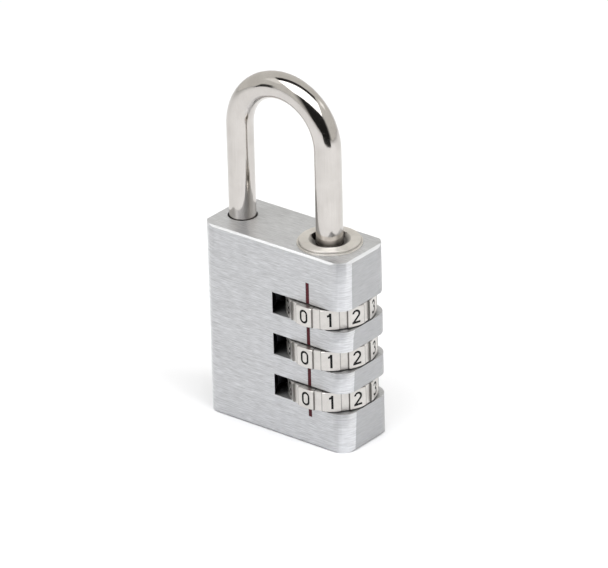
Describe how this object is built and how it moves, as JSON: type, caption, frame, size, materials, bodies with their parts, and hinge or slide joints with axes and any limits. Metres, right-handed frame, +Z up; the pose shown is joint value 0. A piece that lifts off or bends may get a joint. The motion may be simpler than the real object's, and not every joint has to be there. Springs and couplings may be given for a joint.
{
  "type": "luggage combination padlock",
  "caption": "Small padlock for luggage with a brushed block case, a fixed-height nickel shackle and numbered dials with finger grooves that set and open it.",
  "frame": {"origin": "middle of the case's flat base", "axes": "+X to the right across the front, towards the dials' open side; +Y from the front to the back, so the index line and the code are read from -Y; +Z up along the shackle's legs"},
  "size_m": [0.0301, 0.0148, 0.0631],
  "materials": {
    "brushed_aluminium": "brushed along the width of the case",
    "red_paint": "matt paint sunk in a groove",
    "polished_nickel": "polished nickel plate on steel",
    "satin_nickel": "satin nickel plate on cast zinc",
    "black_paint": "matt paint sunk in stamped digits",
    "brass": "turned",
    "spring_steel": "blued spring steel"
  },
  "bodies": {
    "case": {"case_body": "brushed_aluminium", "index_line": "red_paint", "collar": "polished_nickel", "bottom_plug": "brushed_aluminium", "reset_spring": "spring_steel", "detent_spring_bottom": "spring_steel", "detent_spring_middle": "spring_steel", "detent_spring_top": "spring_steel"},
    "shackle": {"shackle": "polished_nickel", "retaining_ring": "spring_steel", "stop_washer": "spring_steel"},
    "dial_bottom": {"dial_bottom": "satin_nickel", "digits_bottom": "black_paint"},
    "dial_middle": {"dial_middle": "satin_nickel", "digits_middle": "black_paint"},
    "dial_top": {"dial_top": "satin_nickel", "digits_top": "black_paint"},
    "sleeve_bottom": {"sleeve_bottom": "brass", "spring_seat": "spring_steel"},
    "sleeve_middle": {"sleeve_middle": "brass"},
    "sleeve_top": {"sleeve_top": "brass"}
  },
  "joints": [
    {"name": "shackle_lift", "type": "slide", "parent": "case", "child": "shackle", "axis": [0, 0, 1], "range_m": [0, 0.0057]},
    {"name": "dial_bottom_turn", "type": "hinge", "parent": "case", "child": "dial_bottom", "pos_m": [0.0076, 0, 0.0091], "axis": [0, 0, 1], "continuous": true, "deforming": ["detent_spring_bottom"]},
    {"name": "dial_middle_turn", "type": "hinge", "parent": "case", "child": "dial_middle", "pos_m": [0.0076, 0, 0.0167], "axis": [0, 0, 1], "continuous": true, "deforming": ["detent_spring_middle"]},
    {"name": "dial_top_turn", "type": "hinge", "parent": "case", "child": "dial_top", "pos_m": [0.0076, 0, 0.0243], "axis": [0, 0, 1], "continuous": true, "deforming": ["detent_spring_top"]},
    {"name": "sleeve_middle_reset", "type": "slide", "parent": "dial_middle", "child": "sleeve_middle", "axis": [0, 0, 1], "range_m": [-0.0012, 0], "stiffness_N_per_m": 200, "springref_m": 0.002},
    {"name": "sleeve_top_reset", "type": "slide", "parent": "dial_top", "child": "sleeve_top", "axis": [0, 0, 1], "range_m": [-0.0012, 0]},
    {"name": "sleeve_bottom_reset", "type": "slide", "parent": "dial_bottom", "child": "sleeve_bottom", "axis": [0, 0, 1], "range_m": [-0.0012, 0], "deforming": ["reset_spring"]}
  ],
  "couplings": [
    {"joint": "sleeve_top_reset", "follows": "sleeve_middle_reset", "ratio": 1},
    {"joint": "sleeve_bottom_reset", "follows": "sleeve_middle_reset", "ratio": 1}
  ]
}
